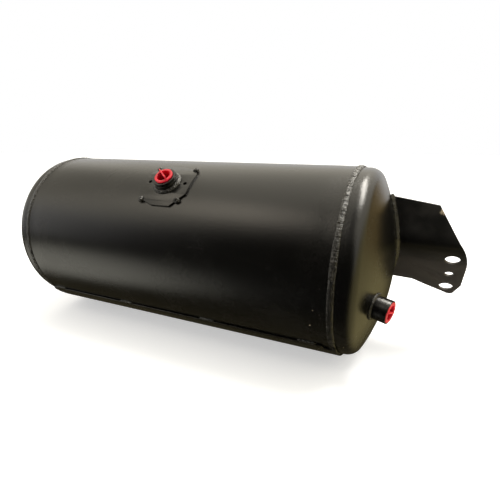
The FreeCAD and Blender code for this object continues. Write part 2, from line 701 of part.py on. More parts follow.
# ---------------------------------------------------------------- the whole tank
def make_tank():
    pieces = [make_shell()]
    left = make_head("left_head")
    pieces.append(place(left, LEFT, TURN_LEFT))
    right = make_head("right_head_dish")
    place(right, RIGHT)
    pieces.append(cut("right_head", right, end_drill()))
    pieces.append(make_girth_weld("left_girth_weld", LEFT, TURN_LEFT))
    pieces.append(make_girth_weld("right_girth_weld", RIGHT, "rotation(vector(1; 0; 0); 0)"))
    pieces.append(make_seam_weld())

    pieces.append(make_cradle())
    pieces.append(make_stitches("cradle_welds_front", -1))
    pieces.append(make_stitches("cradle_welds_back", 1))
    pieces.append(make_foot_bar())
    pieces.append(make_foot_weld("foot_weld_front", -1))
    pieces.append(make_foot_weld("foot_weld_back", 1))

    plate = make_port_plate()
    pieces.append(plate)
    pieces.append(make_port_boss())
    pieces.append(make_port_boss_weld())
    corners = plate_corners()
    tacks = [
        ("plate_tack_front_right", 1, 2),
        ("plate_tack_back_right", 4, 4),
        ("plate_tack_back_left", 6, 7),
        ("plate_tack_front_left", 9, 9),
    ]
    for name, start, stop in tacks:
        pieces.append(make_plate_tack(name, corners[start], corners[stop], plate))
    pieces.append(make_port_plug())

    pieces.append(make_end_boss())
    pieces.append(make_end_boss_weld(head_block("end_weld_block")))
    pieces.append(make_end_plug())
    pieces.append(make_bracket(head_block("bracket_block")))
    pieces.append(make_bracket_weld(
        "bracket_weld_front", "-sizes.bracket_weld", "0",
        head_block("front_weld_block"), head_block("front_weld_layer_block", "sizes.bracket_weld")))
    pieces.append(make_bracket_weld(
        "bracket_weld_back", "sizes.bracket_wall", "sizes.bracket_wall + sizes.bracket_weld",
        head_block("back_weld_block"), head_block("back_weld_layer_block", "sizes.bracket_weld")))
    return pieces


def check(pieces):
    for item in doc.Objects:
        if "Invalid" in item.State or "Error" in item.State:
            raise RuntimeError(f"{item.Label} did not build: {item.State}")
    for piece in pieces:
        if piece.Shape.isNull() or not piece.Shape.isValid():
            raise RuntimeError(f"{piece.Label} has no valid shape")


pieces = make_tank()
doc.recompute()
check(pieces)
os.makedirs("parts", exist_ok=True)
for piece in pieces:
    piece.Shape.exportStep(f"parts/{piece.Label}.step")
    box = piece.Shape.BoundBox
    print(f"{piece.Label}: {len(piece.Shape.Solids)} solids, {piece.Shape.Volume / 1000:.2f} cm3, "
          f"x {box.XMin:.1f} {box.XMax:.1f}, y {box.YMin:.1f} {box.YMax:.1f}, z {box.ZMin:.1f} {box.ZMax:.1f}")
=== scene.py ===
"""Looks of the horizontal pressure tank: black powder coat, rough weld beads and red port plugs.

Lengths are in metres in the part's own frame: +X along the tank to the bracket, +Z up, -Y the
side of the ports, the origin on the floor under the middle of the shell.
"""

import math

import bmesh
import bpy
import numpy as np
from mathutils import Matrix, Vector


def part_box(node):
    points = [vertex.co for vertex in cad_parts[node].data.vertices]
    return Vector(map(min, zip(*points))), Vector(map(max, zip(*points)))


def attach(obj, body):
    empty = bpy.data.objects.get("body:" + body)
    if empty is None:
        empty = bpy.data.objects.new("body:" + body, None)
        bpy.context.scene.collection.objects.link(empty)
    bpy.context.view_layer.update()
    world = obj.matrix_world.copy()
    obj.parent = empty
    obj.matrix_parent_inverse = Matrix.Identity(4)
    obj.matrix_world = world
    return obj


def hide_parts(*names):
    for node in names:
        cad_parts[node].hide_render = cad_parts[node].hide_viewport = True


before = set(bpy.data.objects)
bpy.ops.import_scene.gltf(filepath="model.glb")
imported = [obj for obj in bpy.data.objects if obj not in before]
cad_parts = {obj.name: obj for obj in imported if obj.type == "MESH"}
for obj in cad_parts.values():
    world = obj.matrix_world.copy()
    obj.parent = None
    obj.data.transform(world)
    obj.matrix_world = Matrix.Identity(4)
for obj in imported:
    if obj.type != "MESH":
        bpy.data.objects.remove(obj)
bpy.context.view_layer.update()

# ---------------------------------------------------------------- sizes of the tank
# Shell and heads: half the shell's length, the head's flange, knuckle and crown, the wall.
SHELL_R = 0.1525
HALF = 0.294
FLANGE_R = 0.1508
FLANGE_LENGTH = 0.0124
KNUCKLE_R = 0.023
CROWN_R = 0.317
WALL = 0.0032
KNUCKLE_C = FLANGE_R - KNUCKLE_R
CROWN_C = FLANGE_LENGTH - math.sqrt((CROWN_R - KNUCKLE_R) ** 2 - KNUCKLE_C ** 2)
AXIS_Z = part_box("shell")[0].z + SHELL_R
AXIS = np.array([0.0, 0.0, AXIS_Z])

# How far the head's flange goes into the shell, and how far weld metal sinks into a face.
FLANGE_LAP = 0.004
SINK = 0.0001

# Angles round the shell: the seam from straight up, the cradle's edges from straight down.
SEAM_TILT = math.radians(60)
CRADLE_TILT = math.radians(49.4)

# Port on the shell: its direction, the plate's outside, the boss from the tank's axis outwards.
BORE_R = 0.0133
PORT_TILT = math.radians(37.3)
PLATE_R = SHELL_R + 0.00315
PORT_BOSS_R = BORE_R + 0.0073
PORT_RING_R = BORE_R + 0.0059
PORT_GROOVE_R = BORE_R + 0.0045
PORT_SHOULDER = SHELL_R + 0.0114
PORT_TOP = SHELL_R + 0.0158
BOSS_DEPTH = 0.009

# Port on the right head: how far from the tank's axis and at what angle under the ports' side it
# stands, then levels above the crown's outside face.
END_REACH = 0.093
END_DROP = math.radians(23.2)
END_TOP = 0.0232
END_SEAT = 0.0192
END_RIM = 0.0016
END_LIP = 0.0023
END_BOSS_R = BORE_R + END_LIP + 0.0003 + END_RIM

# Plugs: stem and cup, then how far each plug's flange laps, how thick it is and its bar's rise.
PLUG_STEM_R = BORE_R - 0.0003
PLUG_CUP_R = PLUG_STEM_R - 0.0018
PLUG_DEPTH = 0.012
PORT_LIP, PORT_FLANGE, PORT_GRIP = 0.002, 0.003, 0.0052
END_FLANGE, END_GRIP = 0.005, 0.001

# Bracket: front face from the tank's middle plane, bend, and the ends of its welded root.
FOLD = math.radians(40)
BRACKET_WALL = 0.0042
BRACKET_FACE = 0.0203
BEND_R = 0.014
BEND_LEVEL = 0.0366
BRACKET_ROOT_TOP = 0.1096
BRACKET_ROOT_BOTTOM = -0.040

# Points round a grip bar's outline and along a ring or root bead.
GRIP_STEPS = 40
RING_STEPS = 420


# ---------------------------------------------------------------- putting surfaces into meshes
def dress(name, mesh, look, node=None):
    """Makes a piece of a finished mesh: links it, gives it its material and smooth shading, lets
    it ride on the tank and stand for a CAD node."""
    mesh.name = name
    piece = bpy.data.objects.new(name, mesh)
    bpy.context.scene.collection.objects.link(piece)
    mesh.materials.clear()
    mesh.materials.append(look)
    mesh.shade_smooth()
    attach(piece, "root")
    if node:
        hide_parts(node)
    return piece


def grid_faces(rows, columns, wrap_rows, wrap_columns):
    """Quads between neighbours of a grid of points, with either direction closed on itself."""
    r = np.arange(rows if wrap_rows else rows - 1)[:, None]
    c = np.arange(columns if wrap_columns else columns - 1)[None, :]
    r2 = (r + 1) % rows
    c2 = (c + 1) % columns
    corners = [r * columns + c, r * columns + c2, r2 * columns + c2, r2 * columns + c]
    size = (r.shape[0], c.shape[1])
    return np.stack([np.broadcast_to(k, size).ravel() for k in corners], axis=1)


def turned(profile, place, steps):
    """A surface of revolution. The profile is rows of (distance along the axis, radius), read as
    a closed outline unless it starts and ends on the axis. Each row is turned through a full
    circle: point = place(radius * cos t, radius * sin t, along)."""
    along, radius = profile[:, 0], profile[:, 1]
    t = np.linspace(0, 2 * math.pi, steps, endpoint=False)
    local = np.stack([
        radius[:, None] * np.cos(t)[None, :],
        radius[:, None] * np.sin(t)[None, :],
        np.repeat(along[:, None], steps, axis=1),
    ], axis=-1)
    on_axis = radius[0] < 1e-7 and radius[-1] < 1e-7
    return place(local.reshape(-1, 3)), grid_faces(len(profile), steps, not on_axis, True)


def merged(points, faces):
    """The same surface with coincident points, as at a pole, made one, and faces turned outward."""
    mesh = bpy.data.meshes.new("work")
    mesh.from_pydata(points.tolist(), [], faces.tolist())
    work = bmesh.new()
    work.from_mesh(mesh)
    bmesh.ops.remove_doubles(work, verts=work.verts, dist=1e-6)
    bmesh.ops.dissolve_degenerate(work, edges=work.edges, dist=1e-7)
    bmesh.ops.recalc_face_normals(work, faces=work.faces)
    work.to_mesh(mesh)
    work.free()
    return mesh


def add_turned(name, profile, place, look, node, steps, crease):
    """A closed turned piece whose edges sharper than the crease, in degrees, stay sharp."""
    mesh = merged(*turned(profile, place, steps))
    dress(name, mesh, look, node)
    sharpen(mesh, crease)


def sharpen(mesh, degrees):
    """Marks edges whose faces meet at more than an angle as sharp."""
    work = bmesh.new()
    work.from_mesh(mesh)
    for edge in work.edges:
        edge.smooth = not (len(edge.link_faces) == 2
                           and edge.calc_face_angle(0.0) > math.radians(degrees))
    work.to_mesh(mesh)
    work.free()


def eased(node, look, width):
    """A CAD node's own mesh with its loose triangles merged and its sharp edges rounded."""
    work = bmesh.new()
    work.from_mesh(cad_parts[node].data)
    bmesh.ops.remove_doubles(work, verts=work.verts, dist=2e-6)
    bmesh.ops.dissolve_limit(work, angle_limit=math.radians(0.4), verts=work.verts,
                             edges=work.edges, delimit={"NORMAL"})
    mesh = bpy.data.meshes.new(node + "_eased")
    work.to_mesh(mesh)
    work.free()
    piece = dress(mesh.name, mesh, look, node)
    edge = piece.modifiers.new("rounded_edges", "BEVEL")
    edge.width = width
    edge.segments = 3
    edge.limit_method = "ANGLE"
    edge.angle_limit = math.radians(30)
    edge.harden_normals = True
    edge.use_clamp_overlap = True


def arc(centre, radius, start, stop, count):
    """Points of a circular arc in profile coordinates, angles in degrees from the axis."""
    a = np.radians(np.linspace(start, stop, count))
    return np.stack([centre[0] + radius * np.cos(a), centre[1] + radius * np.sin(a)], axis=1)


def rounded(corners, radius, count=4):
    """An outline with every corner but its first and last replaced by a small curve:
    (1 - u)^2 a + 2 u (1 - u) corner + u^2 b, where a and b lie a radius before and after it."""
    out = [corners[0]]
    for before, corner, after in zip(corners[:-2], corners[1:-1], corners[2:]):
        before, corner, after = (np.asarray(p, float) for p in (before, corner, after))
        a, b = before - corner, after - corner
        r = min(radius, 0.45 * np.linalg.norm(a), 0.45 * np.linalg.norm(b))
        a, b = corner + a / np.linalg.norm(a) * r, corner + b / np.linalg.norm(b) * r
        u = np.linspace(0, 1, count)[:, None]
        out.extend((1 - u) ** 2 * a + 2 * u * (1 - u) * corner + u ** 2 * b)
    out.append(corners[-1])
    return np.asarray(out, float)


# ---------------------------------------------------------------- places on the tank
def along_tank(local):
    """The turning axis laid on the tank's axis: local Z becomes +X."""
    return np.stack([local[:, 2], -local[:, 0], local[:, 1] + AXIS_Z], axis=1)


def along_tank_back(local):
    """The turning axis laid on the tank's axis, pointing to the left end."""
    return np.stack([-local[:, 2], local[:, 0], local[:, 1] + AXIS_Z], axis=1)


def at_port(local):
    """Local Z along the port's direction from the tank's axis, local X along the tank."""
    c, s = math.cos(PORT_TILT), math.sin(PORT_TILT)
    return np.stack([
        local[:, 0],
        local[:, 1] * c - local[:, 2] * s,
        local[:, 1] * s + local[:, 2] * c + AXIS_Z,
    ], axis=1)


CROWN_CENTRE = np.array([HALF + CROWN_C, 0.0, AXIS_Z])
END_LEAN = math.asin(END_REACH / CROWN_R)
END_OUT = np.array([math.cos(END_LEAN), -math.sin(END_LEAN) * math.cos(END_DROP),
                    -math.sin(END_LEAN) * math.sin(END_DROP)])
END_ROUND = np.cross(np.array([1.0, 0.0, 0.0]), END_OUT)
END_ROUND = END_ROUND / np.linalg.norm(END_ROUND)
END_UP = np.cross(END_OUT, END_ROUND)


def at_end_port(local):
    """Local Z along the end boss's axis, zero on the crown's outside face."""
    return (CROWN_CENTRE + local[:, :1] * END_UP + local[:, 1:2] * END_ROUND
            + (local[:, 2:] + CROWN_R) * END_OUT)


# ---------------------------------------------------------------- looks
class Number:
    """A number that a node gives. Sums, differences and products of it add Math nodes."""

    def __init__(self, looks, socket):
        self.looks = looks
        self.socket = socket

    def _do(self, operation, a, b, clamp=False):
        settings = {"operation": operation, "use_clamp": clamp}
        return self.looks.node("ShaderNodeMath", settings, {0: a, 1: b})

    def __add__(self, other):
        return self._do("ADD", self, other)

    def __radd__(self, other):
        return self._do("ADD", other, self)

    def __rsub__(self, other):
        return self._do("SUBTRACT", other, self)

    def __mul__(self, other):
        return self._do("MULTIPLY", self, other)

    def __rmul__(self, other):
        return self._do("MULTIPLY", other, self)

    def clamped(self):
        """The number kept between 0 and 1."""
        return self._do("ADD", self, 0.0, clamp=True)


class Looks:
    """Builds the nodes of one material, or of the surroundings."""

    def __init__(self, owner, place="Object"):
        self.owner = owner
        owner.use_nodes = True
        self.tree = owner.node_tree
        self.tree.nodes.clear()
        self.place = self.node("ShaderNodeTexCoord", {}, {}, out=place)

    def node(self, kind, settings, values, out=0):
        """Adds a node with its settings and its sockets' values or links, and gives one output."""
        made = self.tree.nodes.new(kind)
        for key, setting in settings.items():
            setattr(made, key, setting)
        for key, value in values.items():
            if isinstance(value, Number):
                self.tree.links.new(value.socket, made.inputs[key])
            else:
                made.inputs[key].default_value = value
        return None if out is None else Number(self, made.outputs[out])

    def noise(self, scale, detail, rough, vector=None, distortion=0.0):
        """A soft random pattern around one half."""
        return self.node("ShaderNodeTexNoise", {}, {
            "Vector": vector or self.place, "Scale": scale, "Detail": detail, "Roughness": rough,
            "Distortion": distortion})

    def cells(self, scale):
        """Distance to the nearest of a cloud of points."""
        return self.node("ShaderNodeTexVoronoi", {}, {"Vector": self.place, "Scale": scale},
                         out="Distance")

    def band(self, value, low, high):
        """0 below low, 1 above high, smooth between."""
        return self.node("ShaderNodeMapRange", {"interpolation_type": "SMOOTHSTEP"}, {
            "Value": value, "From Min": low, "From Max": high})

    def mix(self, share, a, b):
        """Colour a where the share is 0 and colour b where it is 1."""
        return self.node("ShaderNodeMix", {"data_type": "RGBA"}, {0: share, 6: a, 7: b}, out=2)

    def axis(self, letter):
        """One coordinate of the place."""
        return self.node("ShaderNodeSeparateXYZ", {}, {0: self.place}, out=letter)

    def stretched(self, x, y, z):
        """The place with each coordinate scaled, so that a pattern is drawn out along one."""
        return self.node("ShaderNodeMapping", {"vector_type": "POINT"}, {
            "Vector": self.place, "Scale": (x, y, z)})

    def bump(self, height, distance, strength, normal=None):
        """The normal of a relief, laid over another relief's normal."""
        values = {"Height": height, "Distance": distance, "Strength": strength}
        if normal is not None:
            values["Normal"] = normal
        return self.node("ShaderNodeBump", {}, values)

    def finish(self, **sockets):
        """The finished material, from the values and patterns of its shader's sockets."""
        shader = self.node("ShaderNodeBsdfPrincipled", {}, {
            key.replace("_", " ").title().replace("Ior", "IOR"): value
            for key, value in sockets.items()})
        self.node("ShaderNodeOutputMaterial", {}, {"Surface": shader}, out=None)
        return self.owner


def near(looks, x, y, z, reach):
    """1 at a place on the tank, falling to 0 at a distance from it."""
    distance = looks.node("ShaderNodeVectorMath", {"operation": "DISTANCE"}, {
        0: looks.place, 1: (x, y, z)}, out="Value")
    return 1 - looks.band(distance, reach * 0.35, reach)


def powder_coat():
    """Black semi-gloss powder coat: a fine orange peel, faint long waves in the plate, a haze of
    handling dust in broad clouds and a few pale scuffs beside the right-hand girth weld."""
    looks = Looks(bpy.data.materials.new("black_powder_coat"))
    peel = looks.noise(420, 3, 0.45)
    pores = looks.noise(1500, 2, 0.5)
    waves = looks.noise(9, 1, 0.4)
    cloud = looks.noise(6.5, 4, 0.6, distortion=0.4)
    smear = looks.noise(30, 3, 0.6, vector=looks.stretched(0.35, 1, 1))
    dust = (looks.band(cloud, 0.42, 0.72) * 0.6 + looks.band(smear, 0.5, 0.8) * 0.4).clamped()
    seen = near(looks, HALF - 0.02, -0.12, AXIS_Z - 0.055, 0.075)
    grains = 1 - looks.band(looks.cells(170), 0.10, 0.20)
    patches = looks.band(looks.noise(60, 3, 0.7), 0.55, 0.62)
    scuff = (seen * grains * patches).clamped()
    base = looks.mix(dust, (0.0022, 0.0021, 0.0018, 1), (0.0058, 0.0053, 0.0043, 1))
    base = looks.mix(scuff, base, (0.30, 0.24, 0.15, 1))
    rough = 0.225 + 0.06 * dust + 0.05 * pores + 0.35 * scuff
    normal = looks.bump(waves, 0.0012, 0.30)
    normal = looks.bump(peel, 0.00032, 0.70, normal)
    normal = looks.bump(pores, 0.00006, 0.45, normal)
    return looks.finish(base_color=base, roughness=rough, normal=normal, specular_ior_level=0.5)


def weld_coat():
    """The same coat over weld metal: glossier on its crests, with spatter grains and pits."""
    looks = Looks(bpy.data.materials.new("coated_weld_metal"))
    lumps = looks.noise(190, 3, 0.6)
    grains = looks.cells(520)
    tint = looks.band(looks.noise(70, 2, 0.5), 0.35, 0.7)
    base = looks.mix(tint, (0.004, 0.0038, 0.0034, 1), (0.015, 0.0135, 0.011, 1))
    rough = 0.15 + 0.12 * tint + 0.05 * lumps
    normal = looks.bump(lumps, 0.0024, 0.90)
    normal = looks.bump(grains, 0.00060, 0.8, normal)
    return looks.finish(base_color=base, roughness=rough, normal=normal, specular_ior_level=0.68)


def bracket_coat():
    """A thinner, sandier coat on hot-rolled plate, with one pale chip at the bracket's corner,
    painted shade as a near-black band across the bend and a painted reflection of lit ground as a
    paler brown-grey on the apron.
    """
    looks = Looks(bpy.data.materials.new("sandy_black_coat"))
    sand = looks.noise(900, 4, 0.65)
    grit = looks.cells(700)
    cloud = looks.band(looks.noise(22, 4, 0.6), 0.35, 0.7)
    base = looks.mix(cloud, (0.0065, 0.0060, 0.0052, 1), (0.020, 0.0175, 0.014, 1))
    height = looks.axis("Z")
    # Painted shade: the base goes nearly black in a band across the bend, for the shade and dark
    # reflection where the plate folds.
    bend = looks.band(height, AXIS_Z + 0.010, AXIS_Z + 0.030) * (
        1 - looks.band(height, AXIS_Z + 0.040, AXIS_Z + 0.060))
    # Painted reflection: below the bend the apron gets a paler brown-grey base for lit ground
    # reflected in it. Its roughness is raised as well.
    apron = 1 - looks.band(height, AXIS_Z - 0.004, AXIS_Z + 0.016)
    base = looks.mix(bend, base, (0.0025, 0.0024, 0.0020, 1))
    base = looks.mix(apron, base, (0.030, 0.024, 0.018, 1))
    chip = near(looks, HALF + 0.1225, 0.020, AXIS_Z + 0.0885, 0.0065)
    chip = (chip * looks.band(looks.noise(300, 3, 0.6), 0.40, 0.5)).clamped()
    base = looks.mix(chip, base, (0.36, 0.29, 0.19, 1))
    rough = 0.34 + 0.12 * cloud + 0.06 * sand + 0.10 * apron
    normal = looks.bump(sand, 0.00025, 0.6)
    normal = looks.bump(grit, 0.00012, 0.5, normal)
    return looks.finish(base_color=base, roughness=rough, normal=normal, specular_ior_level=0.55)


def red_plug_plastic():
    """Moulded red polyethylene with a soft gloss, paler where it is thin or rubbed."""
    looks = Looks(bpy.data.materials.new("red_moulded_plastic"))
    flow = looks.noise(120, 3, 0.5)
    skin = looks.noise(1400, 2, 0.5)
    base = looks.mix(looks.band(flow, 0.35, 0.75), (0.52, 0.006, 0.022, 1), (0.66, 0.014, 0.036, 1))
    rough = 0.34 + 0.10 * skin
    normal = looks.bump(skin, 0.00004, 0.5)
    return looks.finish(base_color=base, roughness=rough, normal=normal, subsurface_weight=0.12,
                        subsurface_scale=0.002, specular_ior_level=0.5)


COAT = powder_coat()
WELD = weld_coat()
PLATE_COAT = bracket_coat()
RED = red_plug_plastic()


# ---------------------------------------------------------------- shell and heads
def head_profile():
    """Outside of a head from its flange root to the middle of the crown, then back inside at the
    wall's thickness. Along the axis from the shell's edge."""
    lean = math.degrees(math.atan2(KNUCKLE_C, FLANGE_LENGTH - CROWN_C))
    knuckle, crown = (FLANGE_LENGTH, KNUCKLE_C), (CROWN_C, 0.0)
    outside = np.concatenate([
        np.stack([np.linspace(-FLANGE_LAP, FLANGE_LENGTH, 8), np.full(8, FLANGE_R)], axis=1),
        arc(knuckle, KNUCKLE_R, 90, lean, 22)[1:],
        arc(crown, CROWN_R, lean, 0, 64)[1:],
    ])
    inside = np.concatenate([
        arc(crown, CROWN_R - WALL, 0, lean, 30),
        arc(knuckle, KNUCKLE_R - WALL, lean, 90, 10)[1:],
        [[-FLANGE_LAP, FLANGE_R - WALL]],
    ])
    outside[-1, 1] = 0.0
    inside[0, 1] = 0.0
    return outside, inside


def add_head(name, place, node):
    """The outside and the inside of a head as one closed dish."""
    outside, inside = head_profile()
    profile = np.concatenate([outside, inside])
    profile[:, 0] += HALF
    add_turned(name, np.concatenate([profile, profile[:1]]), place, COAT, node, 320, 50)


def shell_profile():
    """Outside and inside of the rolled shell. Next to each girth weld the plate is drawn in by a
    quarter of a millimetre: radius less depth * exp(-(distance / reach)^2), where the distance is
    from a circle 16 mm inside the edge."""
    x = np.linspace(-HALF, HALF, 150)
    edge = HALF - np.abs(x)
    depth, distance, reach = 0.00025, edge - 0.016, 0.012
    out = np.stack([x, SHELL_R - depth * np.exp(-(distance / reach) ** 2)], axis=1)
    back = x[::-10]
    back = np.stack([back, np.full(len(back), SHELL_R - WALL)], axis=1)
    return np.concatenate([out, back, out[:1]])


add_head("right_head_dish", along_tank, "right_head")
add_head("left_head_dish", along_tank_back, "left_head")
add_turned("rolled_shell", shell_profile(), along_tank, COAT, "shell", 360, 35)


# ---------------------------------------------------------------- weld beads
def bead(name, path, across, up, width, crown, sink, pitch, seed, node, closed=False, steps=18):
    """A weld bead: an oval section carried along a path. Points are
    path + across * half(a) * cos a + up * height(a) * sin a, where height is the crown over the
    surface and the sink under it. Crescent ripples run along it: the crown is scaled by
    1 + 0.09 ripple + 0.12 jitter, where ripple = sin(2 pi (length / pitch - 0.35 cos^2 a)) and
    jitter is a random number for each ripple. The half width is scaled by
    1 + 0.08 slow + 0.03 ripple, where slow is a sum of low waves with random heights.
    An open bead rounds off to a point at both ends over 0.7 of its width."""
    rng = np.random.default_rng(seed)
    count = len(path)
    hop = np.linalg.norm(np.roll(path, -1, axis=0) - path, axis=1)
    length = np.concatenate([[0], np.cumsum(hop)[:-1]])
    total = length[-1] + (hop[-1] if closed else 0)
    turns = max(3, round(total / pitch))
    phase = length / total * turns * 2 * math.pi
    slow = np.zeros(count)
    for k in range(1, 12):
        size, wave = rng.normal() / k ** 0.5, 2 * math.pi * k * 3 * length / total
        slow += size * np.sin(wave + rng.uniform(0, 6.3))
    slow = slow / np.abs(slow).max()
    which = np.clip((phase / (2 * math.pi)).astype(int), 0, turns)
    jitter = rng.normal(0, 1, turns + 2)[which]
    a = np.linspace(0, 2 * math.pi, steps, endpoint=False)
    ripple = np.sin(phase[:, None] - 2 * math.pi * 0.35 * np.cos(a)[None, :] ** 2)
    top = crown * (1 + 0.09 * ripple + 0.12 * jitter[:, None]) * np.sin(a)[None, :]
    low = sink * np.sin(a)[None, :] * np.ones((count, 1))
    height = np.where(np.sin(a)[None, :] > 0, top, low)
    half = width / 2 * (1 + 0.08 * slow[:, None] + 0.03 * ripple)
    if not closed:
        ends = np.clip(np.minimum(length, total - length) / (width * 0.7), 0, 1)
        swell = np.sqrt(1 - (1 - ends) ** 2)[:, None]
        half = half * swell
        height = height * swell
    points = (path[:, None, :] + across[:, None, :] * (half * np.cos(a)[None, :])[..., None]
              + up[:, None, :] * height[..., None])
    mesh = merged(points.reshape(-1, 3), grid_faces(count, steps, closed, True))
    dress(name, mesh, WELD, node)


def round_path(radius, level, place, toe_in, toe_out, count):
    """A circle in local coordinates with the across and up directions of a bead whose two toes
    are given as (level, radius) offsets from it. Across runs from one toe to the other."""
    t = np.linspace(0, 2 * math.pi, count, endpoint=False)
    spoke = np.stack([np.cos(t), np.sin(t), np.zeros(count)], axis=1)
    lift = np.array([0.0, 0.0, 1.0])
    chord = np.array(toe_out) - np.array(toe_in)
    chord = chord / np.linalg.norm(chord)
    middle = (np.array(toe_out) + np.array(toe_in)) / 2
    path = spoke * (radius + middle[1]) + lift * (level + middle[0])
    across = spoke * chord[1] + lift * chord[0]
    up = spoke * chord[0] - lift * chord[1]
    zero = place(np.zeros((1, 3)))
    return place(path), place(across) - zero, place(up) - zero


def add_girth_weld(name, place, node, seed):
    """The girth bead: from a toe on the shell to a toe on the head's flange."""
    half = 0.00475
    toe_in, toe_out = (half, FLANGE_R - SHELL_R), (-half, 0.0)
    path, across, up = round_path(SHELL_R, HALF, place, toe_in, toe_out, 1500)
    if np.dot(up[0], path[0] - AXIS) < 0:
        up = -up
    bead(name, path, across, up, width=2 * half, crown=0.0019, sink=0.0012, pitch=0.0031,
         seed=seed, node=node, closed=True, steps=20)


add_girth_weld("right_girth_bead", along_tank, "right_girth_weld", 3)
add_girth_weld("left_girth_bead", along_tank_back, "left_girth_weld", 4)


def add_seam_weld():
    """The longitudinal bead along the shell's hidden side."""
    out = np.array([0.0, math.sin(SEAM_TILT), math.cos(SEAM_TILT)])
    side = np.array([0.0, math.cos(SEAM_TILT), -math.sin(SEAM_TILT)])
    count, short = 900, 0.0055
    x = np.linspace(-HALF + short, HALF - short, count)
    path = AXIS + out * (SHELL_R - SINK) + np.stack([x, 0 * x, 0 * x], axis=1)
    bead("seam_bead", path, np.tile(side, (count, 1)), np.tile(out, (count, 1)), width=0.008,
         crown=0.0012, sink=0.0008, pitch=0.0026, seed=5, node="seam_weld")


add_seam_weld()


# ---------------------------------------------------------------- cradle and foot
def add_stitches(side, node, seed):
    """Stitch beads between the cradle's edge and the shell: from a toe on the plate's outer
    corner to a toe on the shell."""
    def spot(angle, radius):
        return AXIS + np.array([0.0, side * math.sin(angle), -math.cos(angle)]) * radius
    low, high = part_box(node)
    end, stitches, count, reach = 0.014, 4, 46, 0.0145
    first, last = low.x + end, high.x - end
    on_plate, on_shell, plate_level = 0.0008 / SHELL_R, 0.0042 / SHELL_R, 0.00245
    toe_plate = spot(CRADLE_TILT - on_plate, SHELL_R + plate_level)
    toe_shell = spot(CRADLE_TILT + on_shell, SHELL_R - SINK)
    chord = toe_shell - toe_plate
    across = chord / np.linalg.norm(chord)
    up = np.cross(across, np.array([1.0, 0.0, 0.0]))
    if np.dot(up, toe_plate - AXIS) < 0:
        up = -up
    for i in range(stitches):
        x = first + (last - first) * i / (stitches - 1) + np.linspace(-reach, reach, count)
        path = (toe_plate + toe_shell) / 2 + np.stack([x, 0 * x, 0 * x], axis=1)
        bead(f"{node}_bead_{i + 1}", path, np.tile(across, (count, 1)), np.tile(up, (count, 1)),
             width=np.linalg.norm(chord), crown=0.0011, sink=0.0014, pitch=0.0029, seed=seed + i,
             node=node if i == 0 else None)


add_stitches(-1, "cradle_welds_front", 10)
add_stitches(1, "cradle_welds_back", 20)
eased("cradle", COAT, 0.0005)
eased("foot_bar", COAT, 0.0006)


def add_foot_weld(side, node, seed):
    """The bead in the corner between the foot bar's upper face and the cradle's underside."""
    low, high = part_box(node)
    count, inset, rise, out, over = 600, 0.0022, 0.0011, 0.89, 0.45
    x = np.linspace(low.x, high.x, count)
    edge = high.y if side > 0 else low.y
    path = np.stack([x, 0 * x + side * (abs(edge) - inset), 0 * x + low.z + rise], axis=1)
    across = np.tile([0.0, side * over, out], (count, 1))
    up = np.tile([0.0, side * out, -over], (count, 1))
    bead(node + "_bead", path, across, up, width=0.0034, crown=0.0012, sink=0.0018, pitch=0.003,
         seed=seed, node=node)


add_foot_weld(-1, "foot_weld_front", 30)
add_foot_weld(1, "foot_weld_back", 31)


# ---------------------------------------------------------------- port on its plate
def boss_profile():
    """The port boss: a body, a shoulder, a groove and a top ring, then down the bore."""
    root, groove_top, chamfer = SHELL_R - BOSS_DEPTH, PORT_SHOULDER + 0.0016, 0.0008
    corners = [
        (root, BORE_R), (root, PORT_BOSS_R),
        (PORT_SHOULDER, PORT_BOSS_R), (PORT_SHOULDER, PORT_GROOVE_R),
        (groove_top, PORT_GROOVE_R), (groove_top, PORT_RING_R),
        (PORT_TOP, PORT_RING_R), (PORT_TOP, BORE_R + chamfer), (PORT_TOP - chamfer, BORE_R),
        (root, BORE_R),
    ]
    return rounded(corners, 0.0006)


def plug_profile(seat, lip, flange):
    """A plug: flange and cup with rounded rims, from the cup's floor out to the stem's foot."""
    top, foot, outer = seat + flange, seat - PLUG_DEPTH, BORE_R + lip
    cup_floor, under, draft = foot + 0.002, seat + 0.0001, 0.0008
    corners = [
        (cup_floor, 0.0), (cup_floor, PLUG_CUP_R - draft), (top, PLUG_CUP_R), (top, outer),
        (under, outer), (under, PLUG_STEM_R), (foot, PLUG_STEM_R - draft), (foot, 0.0),
    ]
    return rounded(corners, 0.0007, 5)


def level_outline(z, half, thick):
    """A flat bar's outline at a level: an oval of half a length and half a thickness whose long
    sides are straight, x = (half - thick) * (3 cos a kept in -1 to 1) + thick * cos a and
    y = thick * the signed square root of sin a."""
    a = np.linspace(0, 2 * math.pi, GRIP_STEPS, endpoint=False)
    x = (half - thick) * np.clip(np.cos(a) * 3, -1, 1) + thick * np.cos(a)
    y = thick * np.sign(np.sin(a)) * np.abs(np.sin(a)) ** 0.5
    return np.stack([x, y, np.full(GRIP_STEPS, z)], axis=1)


